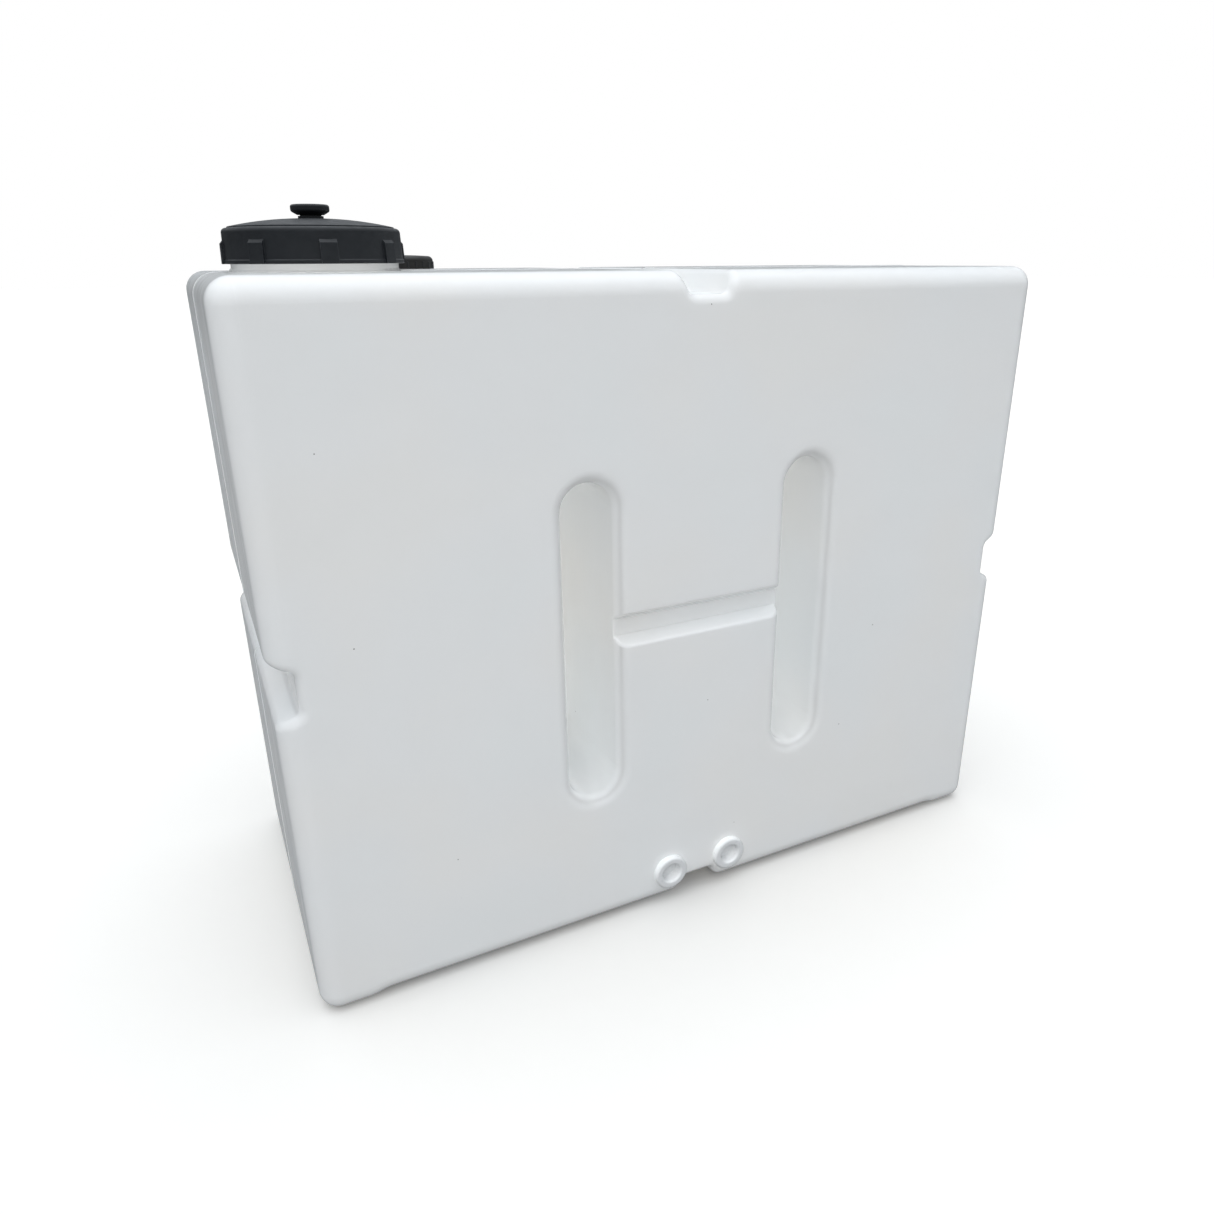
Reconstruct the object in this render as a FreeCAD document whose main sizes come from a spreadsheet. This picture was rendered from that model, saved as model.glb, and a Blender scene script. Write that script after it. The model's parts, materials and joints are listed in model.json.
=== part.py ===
"""Upright fresh water tank with a screwed lid, a vent, a second small port and two outlets.

Millimetres, +Z up.  The origin is on the floor under the middle of the tank, the long side
runs along X and the front, with the two outlets, faces -Y.
"""
import FreeCAD, Part
import math
import os
import Sketcher
from FreeCAD import Rotation, Vector

# Driving dimensions, in millimetres, degrees and plain counts.  Heights of the lid, vent and
# small port are measured from the top of the tank.
SIZES = {
    # moulded shell
    "length": 1160.0,
    "depth": 540.0,
    "height": 940.0,
    "wall": 6.0,
    "corner_radius": 28.0,
    "foot_length": 70.0,
    "foot_ramp": 20.0,
    "foot_height": 5.0,
    "foot_blend": 60.0,
    # strap grooves round the middle: across the top and bottom and along both ends
    "strap_floor": 53.0,
    "strap_mouth": 80.0,
    "strap_depth": 29.0,
    "strap_level": 477.0,
    "strap_floor_radius": 11.0,
    "strap_lip_radius": 12.0,
    # tall stiffening pockets, from front and back to a shared web in the middle
    "pocket_spacing": 346.0,
    "pocket_level": 455.0,
    "pocket_radius": 38.0,
    "pocket_height": 464.0,
    "pocket_draft": 2.0,
    "pocket_lip_radius": 18.0,
    "pocket_floor_radius": 12.0,
    "web": 12.0,
    # shallow bar groove that joins each pair of pockets
    "bar_mouth": 48.0,
    "bar_floor": 24.0,
    "bar_depth": 18.0,
    "bar_lip_radius": 5.0,
    # neck under the lid
    "neck_margin": 47.6,
    "neck_radius": 102.4,
    "neck_height": 44.0,
    "neck_wall": 6.4,
    "neck_base_radius": 4.0,
    "lid_pitch": 10.0,
    "lid_thread_rise": 16.0,
    "lid_thread_height": 2.0,
    "lid_thread_width": 3.6,
    "thread_clearance": 0.5,
    # lid
    "lid_gasket": 3.0,
    "lid_roof": 4.0,
    "lid_bottom": 9.4,
    "lid_rim_wall": 5.1,
    "lid_bead": 4.0,
    "lid_bead_step": 1.2,
    "lid_shoulder_wall": 2.5,
    "lid_shoulder_blend": 5.5,
    "lid_flat": 7.0,
    "lid_step": 1.5,
    "lid_dome_rise": 10.0,
    "lid_dome_radius": 420.0,
    "lid_roof_inset": 2.0,
    "lid_edge_radius": 0.8,
    "lid_lugs": 8.0,
    "lug_width": 20.0,
    "lug_proud": 3.4,
    "lug_drop": 14.0,
    "lug_bevel": 4.0,
    # vent in the middle of the lid
    "vent_seat_margin": 2.5,
    "vent_seat": 7.0,
    "vent_flange_width": 5.5,
    "vent_flange": 3.0,
    "vent_stem_radius": 10.0,
    "vent_stem": 19.0,
    "vent_stem_wall": 3.0,
    "vent_hole_clearance": 0.2,
    "vent_washer_width": 7.0,
    "vent_washer": 2.0,
    "vent_nut_wall": 5.0,
    "vent_nut": 8.0,
    "vent_arms": 3.0,
    "vent_arm_width": 2.4,
    "vent_guide_wall": 1.8,
    "vent_guide": 8.0,
    "vent_screen_ledge": 1.4,
    "vent_screen": 1.0,
    "screen_hole_radius": 0.8,
    "screen_pitch": 2.4,
    "vent_seal_margin": 2.5,
    "vent_seal": 1.5,
    "knob_radius": 23.5,
    "knob_height": 12.0,
    "knob_base_radius": 16.5,
    "knob_taper": 4.0,
    "knob_edge_radius": 3.0,
    "knob_stub_radius": 3.0,
    "knob_stub": 11.5,
    "running_clearance": 0.1,
    # small port behind the lid
    "port_along": 142.0,
    "port_inset": 120.0,
    "port_radius": 41.0,
    "port_wall": 5.0,
    "port_height": 13.0,
    "port_pitch": 6.0,
    "port_thread_rise": 7.0,
    "port_thread_height": 1.6,
    "port_thread_width": 2.2,
    "port_seal": 2.0,
    "port_cap_wall": 4.9,
    "port_cap_bottom": 1.0,
    "port_cap_roof": 3.0,
    "port_cap_dome": 2.0,
    "port_cap_edge_radius": 7.0,
    "port_cap_ribs": 24.0,
    "port_rib_width": 3.0,
    "port_rib_proud": 1.0,
    # outlets: moulded-in inserts with a 1 inch pipe thread, closed until they are drilled
    "outlet_spacing": 106.0,
    "outlet_level": 57.0,
    "outlet_flange_width": 6.0,
    "outlet_proud": 9.0,
    "outlet_lip_radius": 4.0,
    "outlet_barrel_wall": 6.355,
    "outlet_thread_radius": 15.145,
    "outlet_thread_depth": 18.0,
    "outlet_mouth_radius": 3.5,
    "outlet_membrane": 3.0,
    "outlet_anchor_width": 2.0,
    "outlet_anchor": 3.0,
}

# Places and fits that follow from the driving dimensions, as expressions on the sheet.
NECK_X = "({neck_margin} + {neck_radius} - {length} / 2)"
NECK_BORE = "({neck_radius} - {neck_wall})"
PORT_X = f"({NECK_X} + {{port_along}})"
PORT_Y = "({depth} / 2 - {port_inset})"
LID_ROOF = "({neck_height} + {lid_gasket} + {lid_roof})"
LID_INNER = "({neck_radius} + {lid_thread_height} + {thread_clearance})"
LID_SHOULDER = f"({LID_INNER} + {{lid_shoulder_wall}})"
LID_RIM = f"({LID_INNER} + {{lid_rim_wall}})"
VENT_SEAT = f"({LID_ROOF} + {{lid_step}} + {{lid_dome_rise}})"
VENT_FLANGE = "({vent_stem_radius} + {vent_flange_width})"
VENT_BORE = "({vent_stem_radius} - {vent_stem_wall})"
SCREEN_RADIUS = f"({VENT_BORE} + {{vent_screen_ledge}})"
SEAT_RADIUS = f"({VENT_FLANGE} + {{vent_seat_margin}})"
OUTLET_BARREL = "({outlet_thread_radius} + {outlet_barrel_wall})"
OUTLET_FLANGE = f"({OUTLET_BARREL} + {{outlet_flange_width}})"
OUTLET_ANCHOR = f"({OUTLET_BARREL} + {{outlet_anchor_width}})"
PORT_INNER = "({port_radius} + {port_thread_height} + {thread_clearance})"
PORT_FACE = "({port_height} + {port_seal})"
PORT_RIM = f"({PORT_INNER} + {{port_cap_wall}})"

doc = FreeCAD.newDocument("fresh_water_tank")
sheet = doc.addObject("Spreadsheet::Sheet", "Sizes")
for row, (alias, number) in enumerate(SIZES.items(), start=1):
    sheet.set(f"A{row}", alias)
    sheet.set(f"B{row}", str(number))
    sheet.setAlias(f"B{row}", alias)
doc.recompute()
PARTS = []


# ---------------------------------------------------------------- helpers
def sized(text):
    """Turn {name} into a reference to that cell of the sheet."""
    return text.replace("{", "Sizes.").replace("}", "")


def value(text):
    """Number that an expression on the sheet gives now."""
    result = sheet.evalExpression(sized(text))
    return float(getattr(result, "Value", result))


def bind(item, **expressions):
    """Bind properties of an object to expressions on the sheet."""
    for name, text in expressions.items():
        item.setExpression(name, sized(text))


def new_body(label, x="0", y="0", z="0"):
    """PartDesign body whose own origin stands at x, y, z."""
    body = doc.addObject("PartDesign::Body", label)
    body.Label = label
    for axis, text in zip("xyz", (x, y, z)):
        body.setExpression(f"Placement.Base.{axis}", sized(text))
    return body


def keep(item, label):
    """Name an object as a sub-part of the tank."""
    item.Label = label
    PARTS.append(item)
    return item


def origin_feature(body, role):
    return next(item for item in body.Origin.OriginFeatures if item.Role == role)


def new_sketch(body, name, role, offset="0", across="0"):
    """Sketch on one of the body's own origin planes.

    offset moves it along the plane's normal and across moves its own origin sideways.
    """
    sketch = body.newObject("Sketcher::SketchObject", name)
    sketch.AttachmentSupport = [(origin_feature(body, role), "")]
    sketch.MapMode = "FlatFace"
    sketch.setExpression("AttachmentOffset.Base.x", sized(across))
    sketch.setExpression("AttachmentOffset.Base.z", sized(offset))
    return sketch


def pin_point(sketch, curve, end, x, y):
    """Bind one point of a curve to a place given by two expressions."""
    for kind, text in (("DistanceX", x), ("DistanceY", y)):
        index = sketch.addConstraint(Sketcher.Constraint(kind, -1, 1, curve, end, value(text)))
        sketch.setExpression(f"Constraints[{index}]", sized(text))


def clockwise_arc(start, end, radius):
    """Arc of less than half a turn that runs clockwise from start to end."""
    chord = end - start
    across = Vector(chord.y, -chord.x, 0).normalize()
    centre = (start + end) / 2 + across * math.sqrt(radius**2 - chord.Length**2 / 4)
    circle = Part.Circle(centre, Vector(0, 0, 1), radius)
    return Part.ArcOfCircle(circle, circle.parameter(end), circle.parameter(start))


def outline(body, name, role, points, offset="0", across="0", arcs=()):
    """Closed outline through points given as pairs of expressions.

    arcs maps the number of a side to the radius of a clockwise arc that replaces it.
    """
    arcs = dict(arcs)
    sketch = new_sketch(body, name, role, offset, across)
    corners = [Vector(value(x), value(y), 0) for x, y in points]
    ends = []
    for side, (start, end) in enumerate(zip(corners, corners[1:] + corners[:1])):
        if side in arcs:
            sketch.addGeometry(clockwise_arc(start, end, value(arcs[side])), False)
            ends.append((2, 1))
        else:
            sketch.addGeometry(Part.LineSegment(start, end), False)
            ends.append((1, 2))
    count = len(points)
    for side, (x, y) in enumerate(points):
        following = (side + 1) % count
        joined = Sketcher.Constraint("Coincident", side, ends[side][1], following, ends[following][0])
        sketch.addConstraint(joined)
        pin_point(sketch, side, ends[side][0], x, y)
    for side, radius in arcs.items():
        index = sketch.addConstraint(Sketcher.Constraint("Radius", side, value(radius)))
        sketch.setExpression(f"Constraints[{index}]", sized(radius))
    return sketch


def disc(body, name, role, radius, offset="0", x="0", y="0"):
    """Sketch of one circle."""
    sketch = new_sketch(body, name, role, offset)
    circle = Part.Circle(Vector(value(x), value(y), 0), Vector(0, 0, 1), value(radius))
    sketch.addGeometry(circle, False)
    pin_point(sketch, 0, 3, x, y)
    index = sketch.addConstraint(Sketcher.Constraint("Radius", 0, value(radius)))
    sketch.setExpression(f"Constraints[{index}]", sized(radius))
    return sketch


def add(body, kind, name, profile=None, **expressions):
    """Add a PartDesign feature and bind its sizes."""
    feature = body.newObject(f"PartDesign::{kind}", name)
    if profile is not None:
        feature.Profile = (profile, [""])
        profile.Visibility = False
    bind(feature, **expressions)
    return feature


def pad(body, name, profile, length, symmetric=False):
    feature = add(body, "Pad", name, profile, Length=length)
    feature.SideType = "Symmetric" if symmetric else "One side"
    doc.recompute()
    return feature


def pocket(body, name, profile, length, taper=None, symmetric=False, toward_normal=False):
    """Cut, and make sure that the cut really removes material."""
    before = body.Shape.Volume
    feature = add(body, "Pocket", name, profile, Length=length)
    feature.SideType = "Symmetric" if symmetric else "One side"
    feature.Reversed = toward_normal
    if taper:
        bind(feature, TaperAngle=taper)
    doc.recompute()
    if not body.Shape.Volume < before - 1.0:
        raise RuntimeError(f"{feature.Label} removes nothing")
    return feature


def turned(body, name, profile):
    """Revolve a profile about its sketch's upright axis."""
    feature = add(body, "Revolution", name, profile)
    feature.ReferenceAxis = (profile, ["V_Axis"])
    feature.Angle = 360
    doc.recompute()
    return feature


def edge_names(shape, wanted):
    """Names of the edges that a test picks."""
    return [f"Edge{n}" for n, edge in enumerate(shape.Edges, start=1) if wanted(edge)]


def rounded(body, name, radius, wanted):
    """Round the edges that a test picks on the body as it stands."""
    base = body.Tip
    names = edge_names(base.Shape, wanted)
    if not names:
        raise RuntimeError(f"{name} finds no edge")
    feature = body.newObject("PartDesign::Fillet", name)
    feature.Base = (base, names)
    bind(feature, Radius=radius)
    doc.recompute()


def around(body, name, feature, count, angle=360.0):
    """Repeat a feature round the body's upright axis."""
    pattern = body.newObject("PartDesign::PolarPattern", name)
    pattern.Originals = [feature]
    pattern.Axis = (origin_feature(body, "Z_Axis"), [""])
    pattern.Angle = angle
    bind(pattern, Occurrences=count)
    body.Tip = pattern
    doc.recompute()
    return pattern


def near(number, target, slack=0.05):
    return abs(number - target) < slack


def middle(edge):
    return edge.valueAt((edge.FirstParameter + edge.LastParameter) / 2)


def circle_radius(edge):
    """Radius of a round edge, or 0 for any other."""
    if edge.Degenerated:
        return 0.0
    return getattr(edge.Curve, "Radius", 0.0)


def runs_along(edge, axis):
    """True for a straight edge parallel to an axis, 0, 1 or 2."""
    box = edge.BoundBox
    spans = (box.XLength, box.YLength, box.ZLength)
    return spans[axis] > 1.0 and all(spans[other] < 0.01 for other in range(3) if other != axis)


# ---------------------------------------------------------------- moulded shell
def strap_notches(grow):
    """Four trapezoids of the strap grooves, each grown into the shell by an offset."""
    shift = f"({grow}) * (hypot({{strap_depth}}; ({{strap_mouth}} - {{strap_floor}}) / 2)"
    shift += " - ({strap_mouth} - {strap_floor}) / 2) / {strap_depth}"
    floor = f"({{strap_floor}} / 2 + {shift})"
    slope = "(({strap_mouth} - {strap_floor}) / 2 / {strap_depth})"
    mouth = f"({{strap_mouth}} / 2 + {shift} + {slope} * {{strap_depth}})"
    deep = f"({{strap_depth}} + {grow})"
    outside = "{strap_depth}"
    top, end = "{height}", "{length} / 2"
    level = "{strap_level}"
    bottom_floor = f"({{foot_height}} + {deep})"
    return {
        "top": [
            (f"-{mouth}", f"{top} + {outside}"),
            (f"-{floor}", f"{top} - {deep}"),
            (floor, f"{top} - {deep}"),
            (mouth, f"{top} + {outside}"),
        ],
        "bottom": [
            (f"-{mouth}", f"{{foot_height}} - {outside}"),
            (f"-{floor}", bottom_floor),
            (floor, bottom_floor),
            (mouth, f"{{foot_height}} - {outside}"),
        ],
        "left": [
            (f"-{end} - {outside}", f"{level} - {mouth}"),
            (f"-{end} + {deep}", f"{level} - {floor}"),
            (f"-{end} + {deep}", f"{level} + {floor}"),
            (f"-{end} - {outside}", f"{level} + {mouth}"),
        ],
        "right": [
            (f"{end} + {outside}", f"{level} - {mouth}"),
            (f"{end} - {deep}", f"{level} - {floor}"),
            (f"{end} - {deep}", f"{level} + {floor}"),
            (f"{end} + {outside}", f"{level} + {mouth}"),
        ],
    }


def pocket_sketch(body, name, side, grow, offset):
    """Upright slot outline of one pocket: two straight sides and two round ends."""
    radius = f"({{pocket_radius}} + {grow})"
    reach = "({pocket_height} / 2 - {pocket_radius})"
    centre = f"{side} * {{pocket_spacing}} / 2"
    low, high = f"{{pocket_level}} - {reach}", f"{{pocket_level}} + {reach}"
    sketch = new_sketch(body, name, "XZ_Plane", offset)
    x, z_low, z_high, r = value(centre), value(low), value(high), value(radius)
    up = Vector(0, 0, 1)
    top = Part.Circle(Vector(x, z_high, 0), up, r)
    bottom = Part.Circle(Vector(x, z_low, 0), up, r)
    sketch.addGeometry(Part.ArcOfCircle(top, 0, math.pi), False)
    sketch.addGeometry(Part.LineSegment(Vector(x - r, z_high, 0), Vector(x - r, z_low, 0)), False)
    sketch.addGeometry(Part.ArcOfCircle(bottom, math.pi, 2 * math.pi), False)
    sketch.addGeometry(Part.LineSegment(Vector(x + r, z_low, 0), Vector(x + r, z_high, 0)), False)
    for first, second in ((0, 1), (1, 2), (2, 3), (3, 0)):
        sketch.addConstraint(Sketcher.Constraint("Tangent", first, 2, second, 1))
    pin_point(sketch, 0, 3, centre, high)
    pin_point(sketch, 2, 3, centre, low)
    index = sketch.addConstraint(Sketcher.Constraint("Radius", 0, r))
    sketch.setExpression(f"Constraints[{index}]", sized(radius))
    return sketch


def cut_straps(body, prefix, grow):
    for name, points in strap_notches(grow).items():
        profile = outline(body, f"{prefix}_strap_{name}_outline", "XZ_Plane", points)
        pocket(body, f"{prefix}_strap_{name}", profile, "{depth} * 2", symmetric=True)


def cut_pockets(body, prefix, grow, deep):
    """Both pockets from both faces; the front face lies along the sketch plane's normal."""
    for face, sign in (("front", ""), ("back", "-")):
        for name, side in (("left", "-1"), ("right", "1")):
            offset = f"{sign}{{depth}} / 2"
            label = f"{prefix}_{face}_{name}_pocket"
            profile = pocket_sketch(body, f"{label}_outline", side, grow, offset)
            pocket(body, label, profile, deep, taper="-{pocket_draft}", toward_normal=face == "back")


def cut_bars(body, prefix, grow):
    """Bar groove between the pockets, cut along X into the front and the back face."""
    shift = f"({grow}) * (hypot({{bar_depth}}; ({{bar_mouth}} - {{bar_floor}}) / 2)"
    shift += " - ({bar_mouth} - {bar_floor}) / 2) / {bar_depth}"
    floor = f"({{bar_floor}} / 2 + {shift})"
    mouth = f"({{bar_mouth}} / 2 + {shift} + ({{bar_mouth}} - {{bar_floor}}) / 2)"
    for face, sign in (("front", "-"), ("back", "")):
        inner = f"{sign}({{depth}} / 2 - {{bar_depth}} - {grow})"
        outer = f"{sign}({{depth}} / 2 + {{bar_depth}})"
        points = [
            (outer, f"{{strap_level}} - {mouth}"),
            (inner, f"{{strap_level}} - {floor}"),
            (inner, f"{{strap_level}} + {floor}"),
            (outer, f"{{strap_level}} + {mouth}"),
        ]
        profile = outline(body, f"{prefix}_{face}_bar_outline", "YZ_Plane", points)
        pocket(body, f"{prefix}_{face}_bar", profile, "{pocket_spacing}", symmetric=True)


def block_outline(body, name, inset, bottom):
    """Plain rectangle of the tank seen from the front."""
    side, top = f"({{length}} / 2 - {inset})", f"{{height}} - {inset}"
    points = [(f"-{side}", bottom), (side, bottom), (side, top), (f"-{side}", top)]
    return outline(body, name, "XZ_Plane", points)


def footed_outline(body):
    """Front outline of the tank, with its underside raised between two end feet."""
    end = "{length} / 2"
    foot, ramp = f"({end} - {{foot_length}})", f"({end} - {{foot_length}} - {{foot_ramp}})"
    points = [
        (f"-{end}", "0"),
        (f"-{foot}", "0"),
        (f"-{ramp}", "{foot_height}"),
        (ramp, "{foot_height}"),
        (foot, "0"),
        (end, "0"),
        (end, "{height}"),
        (f"-{end}", "{height}"),
    ]
    return outline(body, "tank_outline", "XZ_Plane", points)


def shell_outside():
    """Solid block of the tank's outer shape, with its grooves and pockets."""
    body = new_body("tank_outside")
    pad(body, "tank_block", footed_outline(body), "{depth}", symmetric=True)
    half_length, half_depth = value("{length} / 2"), value("{depth} / 2")
    height, foot_height = value("{height}"), value("{foot_height}")

    def foot_kink(edge):
        return (
            runs_along(edge, 1)
            and middle(edge).z < foot_height + 0.1
            and abs(middle(edge).x) < half_length - 1
        )

    rounded(body, "foot_blends", "{foot_blend}", foot_kink)
    rounded(body, "upright_corners", "{corner_radius}", lambda edge: runs_along(edge, 2))

    def rim(edge):
        box = edge.BoundBox
        return box.ZLength < foot_height + 0.1 and not (
            runs_along(edge, 1) and abs(middle(edge).x) < half_length - 1
        )

    rounded(body, "rims", "{corner_radius}", rim)
    cut_straps(body, "outside", "0")

    def groove_floor(edge):
        point = middle(edge)
        if not runs_along(edge, 1):
            return False
        on_top = near(point.z, value("{height} - {strap_depth}"))
        on_bottom = near(point.z, value("{foot_height} + {strap_depth}"))
        on_end = near(abs(point.x), value("{length} / 2 - {strap_depth}"))
        return on_top or on_bottom or on_end

    rounded(body, "strap_floors", "{strap_floor_radius}", groove_floor)

    def groove_lip(edge):
        point = middle(edge)
        if not runs_along(edge, 1):
            return False
        across = near(abs(point.x), value("{strap_mouth} / 2"), 0.5)
        along = near(abs(point.z - value("{strap_level}")), value("{strap_mouth} / 2"), 0.5)
        return across and (near(point.z, height) or near(point.z, foot_height)) or (
            along and near(abs(point.x), half_length)
        )

    rounded(body, "strap_lips", "{strap_lip_radius}", groove_lip)
    cut_pockets(body, "outside", "0", "{depth} / 2 - {web} / 2")

    def pocket_mouth(edge):
        box = edge.BoundBox
        centre = abs(abs(middle(edge).x) - value("{pocket_spacing} / 2"))
        flat = box.YLength < 0.01 and near(abs(middle(edge).y), half_depth)
        return flat and centre < value("{pocket_radius} + 1") and box.ZLength > 30

    rounded(body, "pocket_lips", "{pocket_lip_radius}", pocket_mouth)

    def pocket_floor(edge):
        centre = abs(abs(middle(edge).x) - value("{pocket_spacing} / 2"))
        flat = edge.BoundBox.YLength < 0.01 and near(abs(middle(edge).y), value("{web} / 2"))
        return flat and centre < value("{pocket_radius} + 1")

    rounded(body, "pocket_floors", "{pocket_floor_radius}", pocket_floor)
    cut_bars(body, "outside", "0")

    def bar_lip(edge):
        point = middle(edge)
        level = abs(point.z - value("{strap_level}"))
        on_face = near(abs(point.y), half_depth) and near(level, value("{bar_mouth} / 2"))
        return on_face and runs_along(edge, 0)

    rounded(body, "bar_lips", "{bar_lip_radius}", bar_lip)
    return body


def helix_ridge(body, name, profile, pitch, rise):
    """Raised screw thread: the profile swept round the upright axis of its own sketch."""
    ridge = add(body, "AdditiveHelix", name, profile)
    ridge.ReferenceAxis = (profile, ["V_Axis"])
    ridge.Mode = "pitch-height-angle"
    bind(ridge, Pitch=pitch, Height=rise)
    doc.recompute()
    return ridge


def ridge_profile(body, name, root, crest, level, width, **place):
    """Trapezoid of a thread: root and crest radius, height of its middle, width at the root."""
    low, high = f"{level} - {width} / 2", f"{level} + {width} / 2"
    points = [
        (root, low),
        (crest, f"{level} - {width} / 4"),
        (crest, f"{level} + {width} / 4"),
        (root, high),
    ]
    return outline(body, name, "XZ_Plane", points, **place)


def add_neck(body, name, x, y, radius, tall):
    """Upright round neck on the top of the tank."""
    start = "{height} - {wall}"
    profile = disc(body, f"{name}_outline", "XY_Plane", radius, start, x, y)
    pad(body, name, profile, f"{tall} + {{wall}}")


def neck_thread(body):
    """Thread of the lid on the neck, from near its base to near its rim."""
    level = "({height} + {neck_height} - {lid_thread_rise} - {lid_thread_width})"
    root, crest = "({neck_radius} - 0.5)", "({neck_radius} + {lid_thread_height})"
    place = {"across": NECK_X}
    profile = ridge_profile(body, "neck_thread_outline", root, crest, level, "{lid_thread_width}", **place)
    helix_ridge(body, "neck_thread", profile, "{lid_pitch}", "{lid_thread_rise}")


def port_thread(body):
    """Thread of the small port's cap on its neck."""
    level = "({height} + {port_height} - {port_thread_rise} - {port_thread_width})"
    root, crest = "({port_radius} - 0.5)", "({port_radius} + {port_thread_height})"
    place = {"across": PORT_X, "offset": f"-{PORT_Y}"}
    profile = ridge_profile(body, "port_thread_outline", root, crest, level, "{port_thread_width}", **place)
    helix_ridge(body, "port_thread", profile, "{port_pitch}", "{port_thread_rise}")


def shell_inside():
    """Solid of the space inside the tank, through both necks and the two outlet holes."""
    body = new_body("tank_inside")
    profile = block_outline(body, "inside_outline", "{wall}", "{foot_height} + {wall}")
    pad(body, "inside_block", profile, "{depth} - 2 * {wall}", symmetric=True)
    rounded(body, "inside_corners", "{corner_radius} - {wall}", lambda edge: True)
    cut_straps(body, "inside", "{wall}")
    cut_pockets(body, "inside", "{wall}", "{depth} / 2")
    cut_bars(body, "inside", "{wall}")
    bores = (
        ("neck_bore", NECK_X, "0", NECK_BORE, "{neck_height}"),
        ("port_bore", PORT_X, PORT_Y, "{port_radius} - {port_wall}", "{port_height}"),
    )
    for name, x, y, radius, tall in bores:
        profile = disc(body, f"{name}_outline", "XY_Plane", radius, "{height} - 2 * {wall}", x, y)
        pad(body, name, profile, f"{tall} + 3 * {{wall}}")
    for name, side in (("left", "-1"), ("right", "1")):
        x = f"{side} * {{outlet_spacing}} / 2"
        label = f"{name}_outlet_hole"
        start = "{depth} / 2 - 2 * {wall}"
        profile = disc(body, f"{label}_outline", "XZ_Plane", OUTLET_BARREL, start, x, "{outlet_level}")
        pad(body, label, profile, "3 * {wall}")
    return body


def tank_shell():
    """Moulded shell: the outer block with its necks, less the space inside."""
    outside = shell_outside()
    add_neck(outside, "neck", NECK_X, "0", "{neck_radius}", "{neck_height}")
    add_neck(outside, "port_neck", PORT_X, PORT_Y, "{port_radius}", "{port_height}")
    top = value("{height}")

    def neck_base(edge):
        circle = circle_radius(edge)
        level = near(middle(edge).z, top) and edge.BoundBox.ZLength < 0.01
        return level and (near(circle, value("{neck_radius}")) or near(circle, value("{port_radius}")))

    rounded(outside, "neck_bases", "{neck_base_radius}", neck_base)
    neck_thread(outside)
    port_thread(outside)
    shell = doc.addObject("Part::Cut", "tank_body")
    shell.Base = outside
    shell.Tool = shell_inside()
    shell.Refine = True
    keep(shell, "tank_body")


def outlet_inserts():
    """Round threaded inserts moulded through the front wall, each closed by a thin membrane."""
    back = "({outlet_proud} - {outlet_thread_depth})"
    end = f"({back} - {{outlet_membrane}})"
    points = [
        ("0", end),
        (OUTLET_BARREL, end),
        (OUTLET_BARREL, "-{wall} - {outlet_anchor}"),
        (OUTLET_ANCHOR, "-{wall} - {outlet_anchor}"),
        (OUTLET_ANCHOR, "-{wall}"),
        (OUTLET_BARREL, "-{wall}"),
        (OUTLET_BARREL, "0"),
        (OUTLET_FLANGE, "0"),
        (OUTLET_FLANGE, "{outlet_proud}"),
        ("{outlet_thread_radius}", "{outlet_proud}"),
        ("{outlet_thread_radius}", back),
        ("0", back),
    ]
    for name, side in (("left", "-1"), ("right", "1")):
        label = f"outlet_insert_{name}"
        x = f"{side} * {{outlet_spacing}} / 2"
        body = new_body(label, x, "-{depth} / 2", "{outlet_level}")
        body.Placement.Rotation = Rotation(Vector(1, 0, 0), 90)
        turned(body, f"{label}_turn", outline(body, f"{label}_outline", "XZ_Plane", points))

        def rim(edge, radius):
            return near(circle_radius(edge), radius) and near(
                middle(edge).z, value("{outlet_proud}")
            )

        outer, inner = value(OUTLET_FLANGE), value("{outlet_thread_radius}")
        rounded(body, f"{label}_lip", "{outlet_lip_radius}", lambda edge: rim(edge, outer))
        rounded(body, f"{label}_mouth", "{outlet_mouth_radius}", lambda edge: rim(edge, inner))
        keep(body, label)


# ---------------------------------------------------------------- lid and vent
def ring(label, inner, outer, low, high, x, y, z):
    """Flat ring or disc turned about the upright axis through x, y, with z as its zero."""
    body = new_body(label, x, y, z)
    points = [(inner, low), (outer, low), (outer, high), (inner, high)]
    turned(body, f"{label}_turn", outline(body, f"{label}_outline", "XZ_Plane", points))
    return body


def lid_gasket():
    """Flat rubber ring between the neck's rim and the lid."""
    rim = "{neck_height}"
    top = f"{rim} + {{lid_gasket}}"
    body = ring("lid_gasket", NECK_BORE, "{neck_radius}", rim, top, NECK_X, "0", "{height}")
    keep(body, "lid_gasket")


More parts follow.
